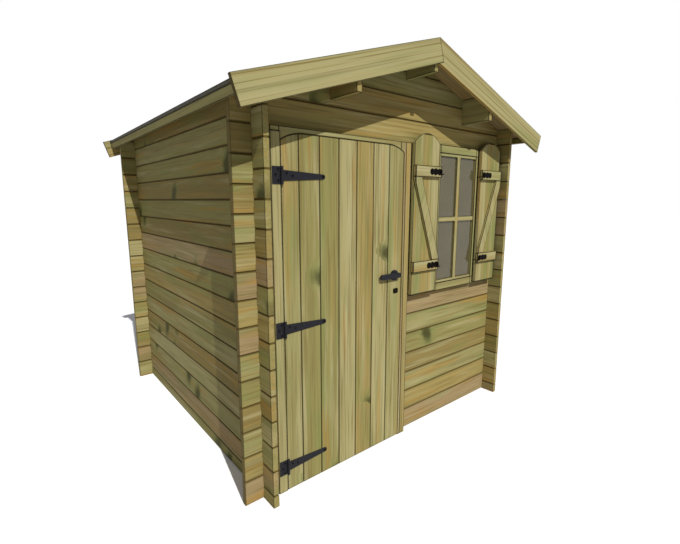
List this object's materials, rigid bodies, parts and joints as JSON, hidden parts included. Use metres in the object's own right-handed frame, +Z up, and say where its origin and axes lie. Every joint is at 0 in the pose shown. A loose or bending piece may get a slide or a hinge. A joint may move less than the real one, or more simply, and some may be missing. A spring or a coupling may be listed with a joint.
{
  "type": "log-board garden shed",
  "caption": "Garden shed of stacked log boards with a pitched board roof, a ledged door on iron T-hinges, a barred window and folding shutters.",
  "frame": {"origin": "on the ground, at the middle of the plan between the outer faces of the four walls", "axes": "+Z up, the door and window face -Y, +X to the right of somebody who looks at the front"},
  "size_m": [2.164, 2.136, 2.1183],
  "materials": {
    "log_pine": "planed pressure-treated pine log boards",
    "roof_pine": "planed pressure-treated pine boards",
    "joinery_pine": "planed pressure-treated pine joinery",
    "floor_pine": "planed pressure-treated pine floor boards",
    "black_iron": "black powder-coated steel",
    "window_glass": "clear float glass"
  },
  "bodies": {
    "root": {"back_barge_left": "roof_pine", "back_barge_right": "roof_pine", "back_gable": "log_pine", "back_wall": "log_pine", "door_header": "joinery_pine", "door_hinge_plates": "black_iron", "door_jamb_left": "joinery_pine", "door_jamb_right": "joinery_pine", "floor_bearers": "floor_pine", "floor_boards": "floor_pine", "front_barge_left": "roof_pine", "front_barge_right": "roof_pine", "front_gable": "log_pine", "front_wall_door_side": "log_pine", "front_wall_lower": "log_pine", "front_wall_pier": "log_pine", "front_wall_upper": "log_pine", "front_wall_window_side": "log_pine", "left_fascia": "roof_pine", "left_purlin": "roof_pine", "left_roof_boards": "roof_pine", "left_shutter_pintles": "black_iron", "left_wall": "log_pine", "ridge_purlin": "roof_pine", "right_fascia": "roof_pine", "right_purlin": "roof_pine", "right_roof_boards": "roof_pine", "right_shutter_pintles": "black_iron", "right_wall": "log_pine", "window_frame": "joinery_pine", "window_glass": "window_glass", "window_sash": "joinery_pine"},
    "door": {"door_boards": "joinery_pine", "door_ledges": "joinery_pine", "door_braces": "joinery_pine", "door_hinge_straps": "black_iron", "door_lock_roses": "black_iron", "door_keyhole_plate": "black_iron"},
    "door_handle": {"door_lever": "black_iron"},
    "left_shutter": {"left_shutter_boards": "joinery_pine", "left_shutter_hinges": "black_iron", "left_shutter_ledges": "joinery_pine"},
    "right_shutter": {"right_shutter_boards": "joinery_pine", "right_shutter_hinges": "black_iron", "right_shutter_ledges": "joinery_pine"}
  },
  "joints": [
    {"name": "door_hinge", "type": "hinge", "parent": "root", "child": "door", "pos_m": [-0.795, -0.9445, 0.79025], "axis": [0, 0, -1], "range_deg": [0, 120]},
    {"name": "handle_turn", "type": "hinge", "parent": "door", "child": "door_handle", "pos_m": [-0.107, -0.93, 0.957], "axis": [0, -1, 0], "range_deg": [0, 40], "stiffness_Nm_per_rad": 1.5, "springref_deg": -20.05},
    {"name": "left_shutter_hinge", "type": "hinge", "parent": "root", "child": "left_shutter", "pos_m": [0.2225, -0.9757, 1.2485], "axis": [0, 0, 1], "range_deg": [0, 180]},
    {"name": "right_shutter_hinge", "type": "hinge", "parent": "root", "child": "right_shutter", "pos_m": [0.6495, -0.9757, 1.2485], "axis": [0, 0, -1], "range_deg": [0, 180]}
  ]
}
